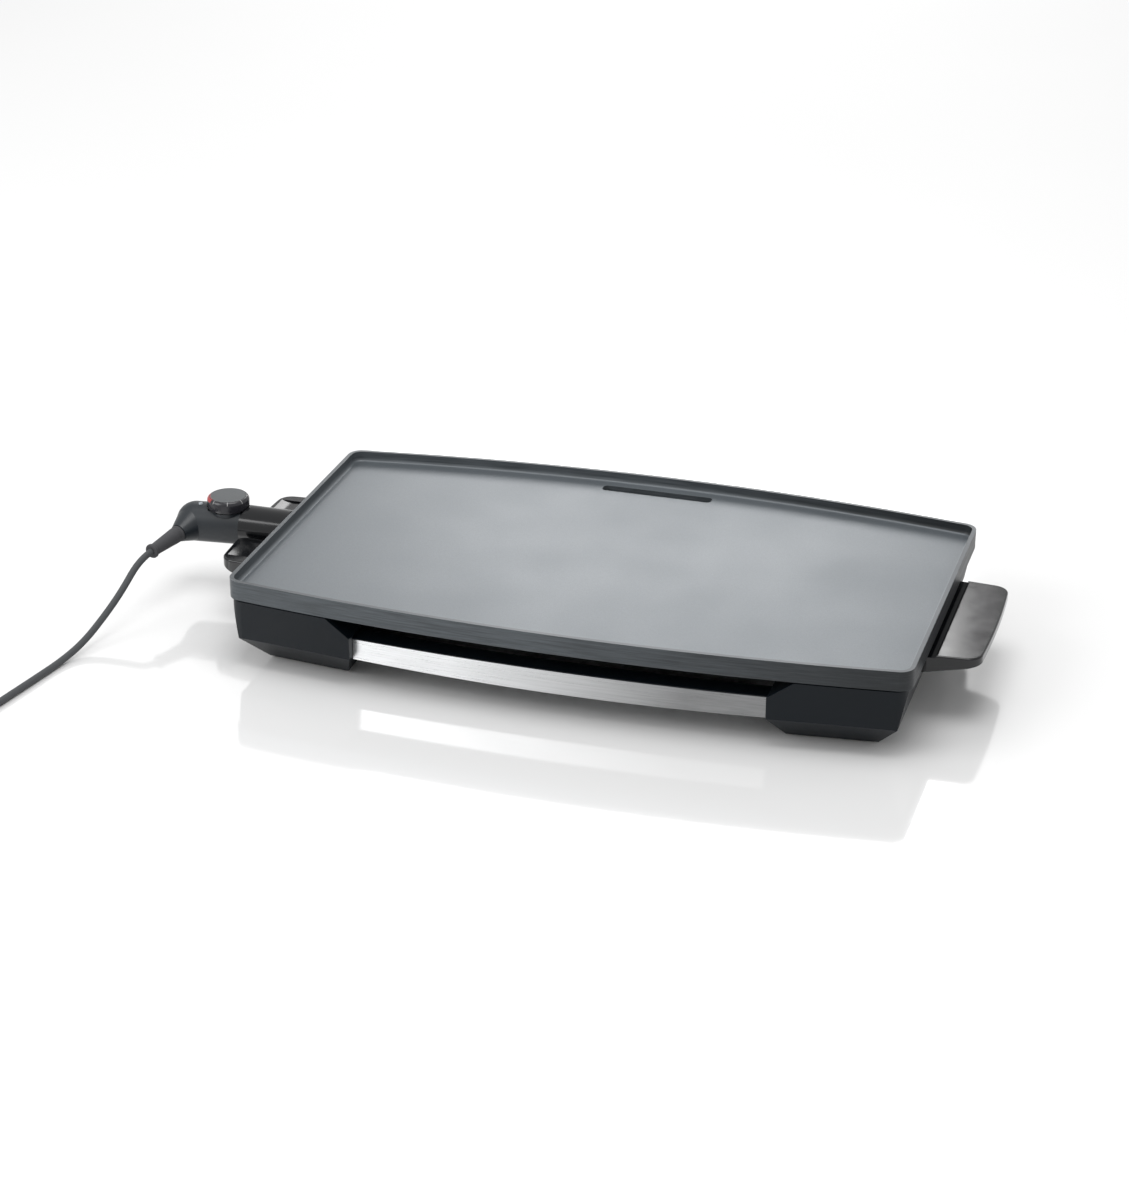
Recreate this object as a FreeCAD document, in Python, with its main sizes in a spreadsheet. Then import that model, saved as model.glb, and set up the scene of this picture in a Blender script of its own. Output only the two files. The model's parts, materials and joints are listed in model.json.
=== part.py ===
import FreeCAD, Part
import math
import os

import Sketcher
from FreeCAD import Placement, Rotation, Vector

# Electric griddle: a cast plate with its own heating element lies on a plastic base, and a plug-in
# thermostat connector feeds it from the left. Millimetres. +Z is up, +X right, +Y back. The origin is
# on the tabletop, under the middle of the plate.

SIZES = {
    # griddle plate
    "plate_width": (580, "plate, end to end"),
    "plate_end_depth": (295, "plate, front to back at its straight ends"),
    "front_bow": (20, "bulge of the front edge"),
    "back_bow": (24, "bulge of the back edge"),
    "rim_top": (78, "height of the rim"),
    "cook_top": (69, "height of the cooking surface"),
    "skirt_bottom": (61, "height of the plate's lower edge"),
    "plate_floor": (5, "thickness under the cooking surface"),
    "rim_wall": (3.5, "thickness of the rim and the skirt"),
    "plate_corner": (13, "corner radius of the plate"),
    "slot_length": (101, "drain slot, along the plate"),
    "slot_width": (11, "drain slot, across"),
    "slot_back": (157, "rear side of the drain slot"),
    # heating element and its terminals
    "heater_height": (57, "axis of the element, its pins and the probe"),
    "heater_diameter": (7, "tubular element"),
    "heater_reach": (235, "element loop, half its length"),
    "heater_span": (85, "element loop, half its width"),
    "heater_bend": (22, "bend radius of the element"),
    "ridge_width": (18, "cast ridge that holds the element"),
    "pin_spread": (8, "terminal pin to the middle"),
    "pin_diameter": (4, "terminal pin"),
    "pin_tip": (318, "tip of the pins, left of the middle"),
    "terminal_inner": (262, "inner face of the terminal block"),
    "terminal_outer": (286, "outer face of the terminal block"),
    "probe_diameter": (5, "thermostat probe"),
    "probe_tip": (205, "tip of the probe, left of the middle"),
    "play": (0.4, "radial clearance of the plugged pieces"),
    # base
    "stand": (2, "height of the base over the tabletop"),
    "base_top": (60, "top of the end housings"),
    "crease": (26, "height where the lower flanks turn in"),
    "housing_outer": (287, "end housing, outer side at the top"),
    "housing_waist": (280.5, "end housing, outer side at the crease"),
    "housing_toe": (262, "end housing, outer side at the bottom"),
    "housing_inner": (198, "end housing, inner side at the top"),
    "bar_half": (176.5, "half the length of the cross-beams"),
    "housing_heel": (188, "end housing, inner side at the bottom"),
    "bar_top": (42.5, "top of the cross-beams"),
    "bar_bottom": (24, "bottom of the cross-beams"),
    "bar_depth": (18, "cross-beams, front to back"),
    "brow": (45, "lower end of the slanted inner corners"),
    "bar_inset": (8, "how far the cross-beams stand back from the plate's edge"),
    "passage_half": (100, "passage for the element in the inner walls, half its width"),
    "passage_bottom": (50, "bottom of that passage"),
    "wall": (3, "wall of the mouldings"),
    "post_x": (240, "support posts and feet, from the middle"),
    "post_y": (115, "support posts, from the middle"),
    "foot_y": (115, "feet, from the middle"),
    "foot_radius": (7, "rubber foot"),
    "trim_thickness": (1.3, "steel strip on the front beam"),
    "trim_droop": (21.5, "lowest point of the steel strip"),
    "trim_end": (23.3, "lower edge of the steel strip at its ends"),
    "shield_height": (28, "underside of the heat shield"),
    "sheet": (1, "sheet metal"),
    # handles
    "handle_top": (58, "top of the handles"),
    "handle_step": (56, "top of the handles at their root"),
    "handle_band": (295, "end of the low band at the root"),
    "handle_middle": (2, "middle of both handles, behind the plate's middle"),
    "handle_tip": (72, "both handles, half their width at the tip"),
    "handle_bow": (2.5, "bulge of the handles' outer edge"),
    "right_reach": (333, "right handle, outer side"),
    "right_half": (75.5, "right handle, half its width"),
    "left_reach": (332, "left handle, outer side"),
    "left_half": (75.5, "left handle, half its width"),
    "grip_bottom": (51.5, "underside of the handles at the tip"),
    "saddle_half": (21.5, "saddle of the left handle, half its width"),
    "saddle_height": (40.8, "bottom of the saddle"),
    "dish_depth": (1.4, "thumb dish of the left handle"),
    # drip tray
    "tray_half": (77.5, "drip tray, half its width"),
    "tray_front": (99, "drip tray, inner end"),
    "tray_back": (169, "drip tray, outer end"),
    "tray_bottom": (44, "underside of the drip tray"),
    "tray_top": (57, "rim of the drip tray"),
    "tray_wall": (1.5, "wall of the drip tray"),
    # connector
    "axis_height": (59.3, "axis of the connector"),
    "sleeve_radius": (18, "glossy sleeve"),
    "sleeve_bore": (15.5, "inside of the sleeve"),
    "sleeve_start": (291.5, "mouth of the sleeve, left of the middle"),
    "seam": (335, "seam between the sleeve and the shells"),
    "shell_radius": (17.8, "shells at the seam"),
    "shell_wall": (2.2, "wall of the shells"),
    "elbow_x": (379.6, "middle of the round elbow, left of the middle"),
    "elbow_y": (4.8, "middle of the round elbow, in front of the middle"),
    "elbow_turn": (75, "turn of the elbow, degrees"),
    "gland_pitch": (5, "slope of the strain relief, degrees"),
    "gland_root": (8, "radius of the shells at the strain relief"),
    "gland_end": (5.5, "radius of the strain relief at its end"),
    "gland_length": (38, "length of the strain relief"),
    "neck_length": (26, "from the elbow's middle to the strain relief"),
    "knob_x": (350.3, "knob axis, left of the middle"),
    "knob_radius": (18.7, "temperature knob"),
    "knob_bottom": (74.4, "underside of the knob"),
    "knob_top": (85.6, "top of the knob"),
    "collar_radius": (17, "collar under the knob"),
    "shaft_radius": (3, "knob shaft"),
    # cord and plug
    "cord_diameter": (6, "round three-core cord"),
    "coil_radius": (45, "outermost turn of the put-away coil, to the cord's middle"),
    "coil_pitch": (6.3, "from turn to turn of the coil"),
    "coil_turns": (3, "turns in each of the coil's two layers"),
    "coil_layer": (6.1, "from the lower layer of the coil to the upper one"),
    "plug_radius": (18.5, "mains plug at its face"),
    "plug_length": (42, "mains plug body"),
    "plug_pin_length": (19, "mains pin"),
    "plug_pin_diameter": (4.8, "mains pin"),
    "plug_pin_spread": (9.5, "mains pin to the middle"),
}

doc = FreeCAD.newDocument("electric_griddle")
sheet = doc.addObject("Spreadsheet::Sheet", "sizes")
for row, (name, (number, meaning)) in enumerate(SIZES.items(), start=1):
    sheet.set(f"A{row}", meaning)
    sheet.set(f"B{row}", str(number))
    sheet.setAlias(f"B{row}", name)
doc.recompute()


class Size:
    """A number and the spreadsheet formula that gives it."""

    def __init__(self, number, formula):
        self.number = float(number)
        self.formula = formula

    def __float__(self):
        return self.number

    def __add__(self, other):
        return combine(self, "+", other, self.number + float(other))

    def __radd__(self, other):
        return combine(other, "+", self, float(other) + self.number)

    def __sub__(self, other):
        return combine(self, "-", other, self.number - float(other))

    def __rsub__(self, other):
        return combine(other, "-", self, float(other) - self.number)

    def __mul__(self, other):
        return combine(self, "*", other, self.number * float(other))

    def __rmul__(self, other):
        return combine(other, "*", self, float(other) * self.number)

    def __truediv__(self, other):
        return combine(self, "/", other, self.number / float(other))

    def __neg__(self):
        return 0 - self


def formula(value):
    return value.formula if isinstance(value, Size) else f"({float(value)})"


def combine(left, sign, right, number):
    return Size(number, f"({formula(left)} {sign} {formula(right)})")


def root(value):
    return Size(math.sqrt(value.number), f"sqrt({value.formula})")


class Dimensions:
    """The sheet's cells by name."""

    def __getattr__(self, name):
        return Size(sheet.get(name), "sizes." + name)


d = Dimensions()
nodes = {}


def node(label, made):
    made.Label = label
    nodes[label] = made
    return made


# ---------------------------------------------------------------- helpers for sketches and features

def body(name):
    return doc.addObject("PartDesign::Body", name)


def sketch(owner, role, offset=0):
    """A sketch on one of the body's own planes, moved along the plane's normal."""
    made = owner.newObject("Sketcher::SketchObject", owner.Name + "_sketch")
    plane = next(item for item in owner.Origin.OriginFeatures if item.Role == role)
    made.AttachmentSupport = [(plane, "")]
    made.MapMode = "FlatFace"
    made.setExpression(".AttachmentOffset.Base.z", formula(offset))
    return made


def dimension(made, constraint, value):
    made.setExpression(f"Constraints[{made.addConstraint(constraint)}]", formula(value))


def outline(made, points, arcs=None):
    """A closed chain of sides. arcs gives (radius, centre) for the side after that point."""
    arcs = arcs or {}
    first = made.GeometryCount
    count = len(points)
    ends = []
    for index, start in enumerate(points):
        here = Vector(float(start[0]), float(start[1]), 0)
        finish = points[(index + 1) % count]
        there = Vector(float(finish[0]), float(finish[1]), 0)
        if index in arcs:
            radius, centre = arcs[index]
            middle = Vector(float(centre[0]), float(centre[1]), 0)
            turns = [math.atan2(end.y - middle.y, end.x - middle.x) for end in (here, there)]
            forward = (turns[1] - turns[0]) % (2 * math.pi) < math.pi
            low, high = turns if forward else reversed(turns)
            circle = Part.Circle(middle, Vector(0, 0, 1), float(radius))
            made.addGeometry(Part.ArcOfCircle(circle, low, high))
            ends.append((1, 2) if forward else (2, 1))
        else:
            made.addGeometry(Part.LineSegment(here, there))
            ends.append((1, 2))
    for index, start in enumerate(points):
        following = (index + 1) % count
        made.addConstraint(Sketcher.Constraint(
            "Coincident", first + index, ends[index][1], first + following, ends[following][0]))
        corner = (-1, 1, first + index, ends[index][0])
        dimension(made, Sketcher.Constraint("DistanceX", *corner, float(start[0])), start[0])
        dimension(made, Sketcher.Constraint("DistanceY", *corner, float(start[1])), start[1])
    for index, (radius, centre) in arcs.items():
        dimension(made, Sketcher.Constraint("Radius", first + index, float(radius)), radius)


def rectangle(made, left, right, low, high):
    outline(made, [(left, low), (right, low), (right, high), (left, high)])


def disc(made, across, up, radius):
    place = made.addGeometry(Part.Circle(Vector(float(across), float(up), 0), Vector(0, 0, 1), float(radius)))
    dimension(made, Sketcher.Constraint("DistanceX", -1, 1, place, 3, float(across)), across)
    dimension(made, Sketcher.Constraint("DistanceY", -1, 1, place, 3, float(up)), up)
    dimension(made, Sketcher.Constraint("Radius", place, float(radius)), radius)


def feature(kind, profile, length, reverse=False):
    """A Pad or a Pocket of a sketch; it must add or remove material."""
    owner = profile.getParentGeoFeatureGroup()
    before = owner.Shape.Volume if owner.Tip else 0
    made = owner.newObject("PartDesign::" + kind, owner.Name + "_" + kind.lower())
    made.Profile = profile
    made.Reversed = reverse
    made.setExpression("Length", formula(length))
    doc.recompute()
    change = made.Shape.Volume - before
    if change * (1 if kind == "Pad" else -1) < 0.5:
        raise RuntimeError(f"{made.Name} changes nothing")
    return made


def dress(owner, kind, wanted, size):
    """A Fillet or a Chamfer on the edges of the body that the test picks."""
    base = owner.Tip
    picked = [f"Edge{index}" for index, edge in enumerate(base.Shape.Edges, start=1) if wanted(edge)]
    made = owner.newObject("PartDesign::" + kind, owner.Name + "_" + kind.lower())
    made.Base = (base, picked)
    made.setExpression("Radius" if kind == "Fillet" else "Size", formula(size))
    doc.recompute()
    if not picked or "Invalid" in made.State:
        raise RuntimeError(f"{made.Name} failed on {len(picked)} edges")
    return made


def upright(edge):
    ends = [vertex.Point for vertex in edge.Vertexes]
    return len(ends) == 2 and abs(ends[0].x - ends[1].x) + abs(ends[0].y - ends[1].y) < 0.01


def level(height):
    def wanted(edge):
        box = edge.BoundBox
        return abs(box.ZMin - float(height)) < 0.01 and abs(box.ZMax - float(height)) < 0.01
    return wanted


# ---------------------------------------------------------------- helpers for primitives

AXES = {"X": Vector(1, 0, 0), "Y": Vector(0, 1, 0), "Z": Vector(0, 0, 1)}


def put(made, x, y, z, axis="Z"):
    made.Placement = Placement(Vector(), Rotation(AXES["Z"], AXES[axis]))
    for letter, value in zip("xyz", (x, y, z)):
        made.setExpression(f".Placement.Base.{letter}", formula(value))
    return made


def box(x, y, z):
    """A block between (low, high) pairs."""
    made = doc.addObject("Part::Box", "block")
    for name, (low, high) in zip(("Length", "Width", "Height"), (x, y, z)):
        made.setExpression(name, formula(high - low))
    return put(made, x[0], y[0], z[0])


def cylinder(radius, length, x, y, z, axis="Z"):
    made = doc.addObject("Part::Cylinder", "round")
    made.setExpression("Radius", formula(radius))
    made.setExpression("Height", formula(length))
    return put(made, x, y, z, axis)


def cone(radius, top_radius, length, x, y, z, axis="Z"):
    made = doc.addObject("Part::Cone", "taper")
    made.setExpression("Radius1", formula(radius))
    made.setExpression("Radius2", formula(top_radius))
    made.setExpression("Height", formula(length))
    return put(made, x, y, z, axis)


def fuse(*pieces):
    made = doc.addObject("Part::MultiFuse", "joined")
    made.Shapes = list(pieces)
    return made


def cut(base, *tools):
    made = doc.addObject("Part::Cut", "cut")
    made.Base = base
    made.Tool = tools[0] if len(tools) == 1 else fuse(*tools)
    return made


def group(pieces):
    made = doc.addObject("Part::Compound", "group")
    made.Links = pieces
    return made


def shaped(label, shape):
    """A piece whose shape is built from the sheet's numbers by code."""
    made = doc.addObject("Part::Feature", label)
    made.Shape = shape
    return made


def tool(shape):
    return shaped("tool", shape)


# ---------------------------------------------------------------- the bowed front and back edges

def edge_circle(front, inset):
    """Radius and centre height of the front or back edge, moved inward by inset."""
    bow = d.front_bow if front else d.back_bow
    half = d.plate_width / 2
    radius = (half * half + bow * bow) / (2 * bow)
    centre = radius - d.plate_end_depth / 2 - bow
    return radius - inset, (0, centre if front else -centre)


def edge_y(front, x, inset=0):
    radius, centre = edge_circle(front, inset)
    reach = root(radius * radius - x * x)
    return centre[1] - reach if front else centre[1] + reach


def bowed_plan(made, left, right, inset=0):
    """The region between the bowed front and back edges."""
    points = [
        (left, edge_y(True, left, inset)),
        (right, edge_y(True, right, inset)),
        (right, edge_y(False, right, inset)),
        (left, edge_y(False, left, inset)),
    ]
    outline(made, points, {0: edge_circle(True, inset), 2: edge_circle(False, inset)})


def bowed_band(made, front, left, right, inset, depth):
    """A strip that follows the front or back edge, depth deep from inset inward."""
    inner = inset + depth
    points = [
        (left, edge_y(front, left, inset)),
        (right, edge_y(front, right, inset)),
        (right, edge_y(front, right, inner)),
        (left, edge_y(front, left, inner)),
    ]
    outline(made, points, {0: edge_circle(front, inset), 2: edge_circle(front, inner)})


# ---------------------------------------------------------------- tubes: element and cord

def tube(points, radius, bend=None):
    """A round bar along straight runs joined by tangent arcs, with its length and smallest radius."""
    places = [Vector(*[float(value) for value in point]) for point in points]
    pieces = []
    radii = []
    start = places[0]
    for before, corner, after in zip(places, places[1:], places[2:]):
        inward = (before - corner).normalize()
        outward = (after - corner).normalize()
        half_turn = (math.pi - inward.getAngle(outward)) / 2
        shorter = min((before - corner).Length, (after - corner).Length)
        arc_radius = float(bend) if bend else 0.45 * shorter / math.tan(half_turn)
        trim = arc_radius * math.tan(half_turn)
        bisector = (inward + outward).normalize()
        deepest = corner + bisector * (arc_radius / math.cos(half_turn) - arc_radius)
        pieces.append(Part.LineSegment(start, corner + inward * trim).toShape())
        pieces.append(Part.Arc(corner + inward * trim, deepest, corner + outward * trim).toShape())
        start = corner + outward * trim
        radii.append(arc_radius)
    pieces.append(Part.LineSegment(start, places[-1]).toShape())
    path = Part.Wire(pieces)
    section = Part.Wire(Part.Circle(places[0], places[1] - places[0], float(radius)).toShape())
    solid = path.makePipeShell([section], True, False)
    expected = math.pi * float(radius) ** 2 * path.Length
    if abs(solid.Volume / expected - 1) > 0.01:
        raise RuntimeError("a tube's volume differs from its section times its length")
    return solid, path.Length, radii


# ---------------------------------------------------------------- heating element and plate

def heater_route():
    """From the rear terminal round the plate to the front one."""
    start = -d.terminal_inner
    near = -d.heater_reach
    corners = [
        (start, d.pin_spread), (near, d.pin_spread), (near, d.heater_span),
        (d.heater_reach, d.heater_span), (d.heater_reach, -d.heater_span),
        (near, -d.heater_span), (near, -d.pin_spread), (start, -d.pin_spread),
    ]
    return [(x, y, d.heater_height) for x, y in corners]


element_shape, _, _ = tube(heater_route(), d.heater_diameter / 2, d.heater_bend)
element = node("heating_element", shaped("heating_element", element_shape))


def griddle_plate():
    plate = body("plate_casting")
    half = d.plate_width / 2
    plan = sketch(plate, "XY_Plane", d.skirt_bottom)
    bowed_plan(plan, -half, half)
    feature("Pad", plan, d.rim_top - d.skirt_bottom)

    inner_corner = d.plate_corner - d.rim_wall
    at_wall = half - d.rim_wall
    pan = sketch(plate, "XY_Plane", d.rim_top)
    bowed_plan(pan, -at_wall, at_wall, d.rim_wall)
    feature("Pocket", pan, d.rim_top - d.cook_top)
    dress(plate, "Fillet", lambda edge: upright(edge) and edge.BoundBox.ZMin > float(d.cook_top) - 0.1,
          inner_corner)
    dress(plate, "Fillet", level(d.cook_top), d.rim_wall)

    underside = sketch(plate, "XY_Plane", d.skirt_bottom)
    bowed_plan(underside, -at_wall, at_wall, d.rim_wall)
    feature("Pocket", underside, d.cook_top - d.plate_floor - d.skirt_bottom, reverse=True)
    floor_bottom = d.cook_top - d.plate_floor
    dress(plate, "Fillet", lambda edge: upright(edge) and edge.BoundBox.ZMax < float(floor_bottom) + 0.1,
          inner_corner)
    whole = (d.rim_top - d.skirt_bottom).number - 0.1
    dress(plate, "Fillet", lambda edge: upright(edge) and edge.BoundBox.ZLength > whole, d.plate_corner)

    ridge = sketch(plate, "XY_Plane", d.heater_height)
    for grow in (d.ridge_width / 2, -d.ridge_width / 2):
        reach = d.heater_reach + grow
        span = d.heater_span + grow
        rectangle(ridge, -reach, reach, -span, span)
    feature("Pad", ridge, floor_bottom - d.heater_height)

    lugs = sketch(plate, "XY_Plane", d.base_top)
    for x in (-d.post_x, d.post_x):
        for y in (-d.post_y, d.post_y):
            disc(lugs, x, y, d.foot_radius)
    feature("Pad", lugs, floor_bottom - d.base_top)

    boss = sketch(plate, "XY_Plane", d.heater_height - 6)
    boss_end = d.heater_reach - d.ridge_width / 2
    rectangle(boss, -boss_end - 1, -d.probe_tip + 6, -8, 8)
    feature("Pad", boss, floor_bottom - d.heater_height + 6)
    guide = sketch(plate, "YZ_Plane", -d.probe_tip + 3)
    disc(guide, 0, d.heater_height, d.probe_diameter / 2 + d.play)
    feature("Pocket", guide, d.heater_reach - d.probe_tip + 20)

    slot = sketch(plate, "XY_Plane", d.cook_top)
    rectangle(slot, -d.slot_length / 2, d.slot_length / 2, d.slot_back - d.slot_width, d.slot_back)
    feature("Pocket", slot, d.plate_floor + 1)
    in_slot = d.slot_length.number / 2 + 0.1
    dress(plate, "Fillet",
          lambda edge: upright(edge) and abs(edge.BoundBox.Center.x) < in_slot and edge.BoundBox.YMin > 140,
          4)
    return cut(plate, element)


node("griddle_plate", griddle_plate())


def both_sides(make):
    """One piece on each side of the middle, front and back."""
    return group([make(-1), make(1)])


def terminal_pin(side):
    length = d.pin_tip - d.terminal_inner
    tip = 1.5
    stem = cylinder(d.pin_diameter / 2, length - tip, tip - d.pin_tip, side * d.pin_spread, d.heater_height, "X")
    nose = cone(d.pin_diameter / 4, d.pin_diameter / 2, tip, -d.pin_tip, side * d.pin_spread, d.heater_height, "X")
    return fuse(stem, nose)


def terminal_bush(side):
    place = (-d.terminal_outer - 1, side * d.pin_spread, d.heater_height, "X")
    length = d.terminal_outer - d.terminal_inner + 1
    return cut(cylinder(d.pin_diameter, length, *place), cylinder(d.pin_diameter / 2, length, *place))


def terminal_block():
    ends = (-d.terminal_outer, -d.terminal_inner)
    across = d.pin_spread + 10
    block = box(ends, (-across, across), (d.heater_height - 8, d.cook_top - d.plate_floor))
    length = d.terminal_outer - d.terminal_inner
    holes = [cylinder(d.probe_diameter / 2 + d.play, length, ends[0], 0, d.heater_height, "X")]
    for side in (-1, 1):
        holes.append(cylinder(d.pin_diameter, length, ends[0], side * d.pin_spread, d.heater_height, "X"))
    return cut(block, *holes)


node("terminal_pins", both_sides(terminal_pin))
node("ceramic_bushes", both_sides(terminal_bush))
node("terminal_block", terminal_block())
earth_top = d.heater_height - 8
node("earth_blade", box((-d.sleeve_start - 9, -d.terminal_inner), (-4, 4), (earth_top - d.sheet, earth_top)))


# ---------------------------------------------------------------- base

def flank(height):
    """Outer side of an end housing at a height above the crease."""
    slope = (d.housing_outer - d.housing_waist) / (d.base_top - d.crease)
    return d.housing_outer - (d.base_top - height) * slope


def housing_block(side, skin, top):
    """The outer form of an end housing, or its inner form when skin is the wall's thickness."""
    block = body("housing_form")
    low = d.stand + skin
    inner = side * (d.bar_half + skin)
    outer = side * (d.housing_outer - skin)
    plan = sketch(block, "XY_Plane", low)
    bowed_plan(plan, min(inner, outer, key=float), max(inner, outer, key=float), skin)
    feature("Pad", plan, top - low)
    dress(block, "Fillet",
          lambda edge: upright(edge) and abs(edge.BoundBox.Center.x) > abs(float(outer)) - 1,
          d.plate_corner - 1 - skin)

    # the front view trims the outer flank, the slanted inner corner and the inner heel; the inner form's
    # slanted lines stand one wall inside the outer form's
    ahead = d.plate_end_depth / 2 + d.back_bow + 10
    beyond = side * (d.housing_outer + 10)
    short_of = side * (d.bar_half - 5)
    toe = side * (d.housing_toe - 0.43 * skin)
    heel = side * (d.housing_heel + 0.57 * skin)
    brow = side * (d.housing_inner + 1.45 * skin)
    brow_low = d.brow - 0.43 * skin
    crease = d.crease + 0.4 * skin
    over = top + 5
    view = sketch(block, "XZ_Plane", ahead)
    outline(view, [(outer, d.base_top), (side * (d.housing_waist - skin), crease), (toe, low), (toe, 0),
                   (beyond, 0), (beyond, over), (outer, over)])
    outline(view, [(brow, d.base_top), (inner, brow_low), (short_of, brow_low), (short_of, over), (brow, over)])
    outline(view, [(inner, crease), (heel, low), (heel, 0), (short_of, 0), (short_of, crease)])
    feature("Pocket", view, 2 * ahead)
    return block


def tucked(block, side, skin):
    """Cuts the lower front and back away below the crease, at 45 degrees along the housing's edge."""
    inward = math.sqrt(2) * skin
    inner, outer = side * float(d.bar_half), side * float(d.housing_outer)
    spare = (outer - inner) / 4
    tools = []
    for front in (True, False):
        start = Vector(inner, float(edge_y(front, d.bar_half)), 0)
        end = Vector(outer, float(edge_y(front, d.housing_outer)), 0)
        along = (end - start) / (outer - inner)
        away = Vector(0, -1 if front else 1, 0)
        start = start - along * spare
        corners = [(-float(d.crease) - inward, 0), (float(d.crease) - inward, 2 * float(d.crease)),
                   (2 * float(d.crease), 2 * float(d.crease)), (2 * float(d.crease), 0)]
        places = [start + away * reach + Vector(0, 0, height) for reach, height in corners]
        face = Part.Face(Part.makePolygon(places + places[:1]))
        tools.append(tool(face.extrude(along * (outer - inner + 2 * spare))))
    return cut(block, *tools)


def end_housing(side, notched):
    """An open tray with posts for the plate's lugs, recesses for the feet and, on the left, a notch."""
    outer = tucked(housing_block(side, 0, d.base_top), side, 0)
    inner = tucked(housing_block(side, d.wall, d.base_top + 1), side, float(d.wall))
    floor = d.stand + d.wall
    posts = [cylinder(d.foot_radius, d.base_top - floor + 0.5, side * d.post_x, y, floor - 0.5)
             for y in (-d.post_y, d.post_y)]
    recesses = [cylinder(d.foot_radius, d.stand + 2, side * d.post_x, y, 0) for y in (-d.foot_y, d.foot_y)]
    passage = (d.bar_half - 5, d.housing_inner + 15)
    recesses.append(box(passage if side > 0 else (-passage[1], -passage[0]), (-d.passage_half, d.passage_half),
                        (d.passage_bottom, d.base_top + 5)))
    if notched:
        recesses.append(box((-d.housing_outer - 5, -d.terminal_inner), (-d.saddle_half, d.saddle_half),
                            (d.saddle_height, d.base_top + 5)))
    return cut(fuse(cut(outer, inner), *posts), *recesses)


right_housing = end_housing(1, False)
left_housing = end_housing(-1, True)


def crossbeam(front, trimmed):
    beam = body("beam_moulding")
    inset = d.bar_inset + d.trim_thickness if trimmed else d.bar_inset
    half = d.bar_half
    plan = sketch(beam, "XY_Plane", d.bar_bottom)
    bowed_band(plan, front, -half, half, inset, d.bar_inset + d.bar_depth - inset)
    feature("Pad", plan, d.bar_top - d.bar_bottom)
    if trimmed:
        lip = sketch(beam, "XY_Plane", d.bar_top - 1)
        bowed_band(lip, front, -half, half, d.bar_inset, d.trim_thickness + 0.5)
        feature("Pad", lip, 1)
    # cells open to the inside, with ribs between them
    cells = sketch(beam, "XY_Plane", d.bar_top - d.wall)
    count = 6
    pitch = 2 * half / count
    for index in range(count):
        left = -half + index * pitch
        bowed_band(cells, front, left + d.wall / 2, left + pitch - d.wall / 2, inset + d.wall, d.bar_depth)
    feature("Pocket", cells, d.bar_top - d.bar_bottom - 2 * d.wall)
    return beam


front_beam = crossbeam(True, True)
rear_beam = crossbeam(False, False)


def trim_strip():
    strip = body("trim_strip")
    half = d.bar_half - 0.3
    plan = sketch(strip, "XY_Plane", d.trim_droop)
    bowed_band(plan, True, -half, half, d.bar_inset, d.trim_thickness)
    feature("Pad", plan, d.bar_top - 1 - d.trim_droop)
    # the lower edge hangs in a long arc
    sag = d.trim_end - d.trim_droop
    radius = (half * half + sag * sag) / (2 * sag)
    shape = sketch(strip, "XZ_Plane", d.plate_end_depth)
    low = d.trim_droop - 10
    outline(shape, [(-half, d.trim_droop + sag), (half, d.trim_droop + sag), (half, low), (-half, low)],
            {0: (radius, (0, d.trim_droop + radius))})
    feature("Pocket", shape, d.plate_end_depth)
    return strip


node("front_trim_strip", trim_strip())


def heat_shield():
    shield = body("heat_shield")
    plan = sketch(shield, "XY_Plane", d.shield_height)
    bowed_plan(plan, -d.bar_half, d.bar_half, d.bar_inset + d.bar_depth)
    feature("Pad", plan, d.sheet)
    bead_half = d.bar_half - 25
    beads = (-90, -30, 30, 90)
    raised = sketch(shield, "XY_Plane", d.shield_height + d.sheet)
    for y in beads:
        rectangle(raised, -bead_half, bead_half, y - 5, y + 5)
    feature("Pad", raised, 2)
    pressed = sketch(shield, "XY_Plane", d.shield_height)
    for y in beads:
        rectangle(pressed, d.sheet - bead_half, bead_half - d.sheet, y - 5 + d.sheet, y + 5 - d.sheet)
    feature("Pocket", pressed, 2, reverse=True)
    return shield


node("heat_shield", heat_shield())
node("rubber_feet", group([
    cut(cylinder(d.foot_radius, d.stand + 2, x, y, 0),
        cylinder(d.foot_radius / 2, 1, x, y, 0))
    for x in (-d.post_x, d.post_x) for y in (-d.foot_y, d.foot_y)]))


def screw(place, direction, length, head, shank, recessed):
    """A pan-head screw. The top of its head is at the place, and the shank runs on along the direction."""
    flat = 2.2
    made = Part.makeCylinder(head, flat).fuse(Part.makeCylinder(shank, length, Vector(0, 0, flat)))
    if recessed:
        for angle in (0, 90):
            bar = Part.makeBox(head * 1.2, 0.7, 1.2, Vector(-head * 0.6, -0.35, 0))
            bar.rotate(Vector(), AXES["Z"], angle)
            made = made.cut(bar)
    made.Placement = Placement(Vector(*[float(value) for value in place]), Rotation(AXES["Z"], direction))
    return made


def screw_set(label, places, length, head=3.2, shank=1.7):
    """Screws with a cross recess as one node, and the plain shape of the holes that they sit in."""
    shapes = [Part.makeCompound([screw(place, direction, length, head, shank, recessed)
                                 for place, direction in places]) for recessed in (True, False)]
    node(label, shaped(label, shapes[0]))
    return tool(shapes[1])


# ---------------------------------------------------------------- handles

def near_tip(reach):
    """Picks the upright edges at the outer end of a handle."""
    return lambda edge: upright(edge) and abs(edge.BoundBox.Center.x) > float(reach) - 0.1


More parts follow.
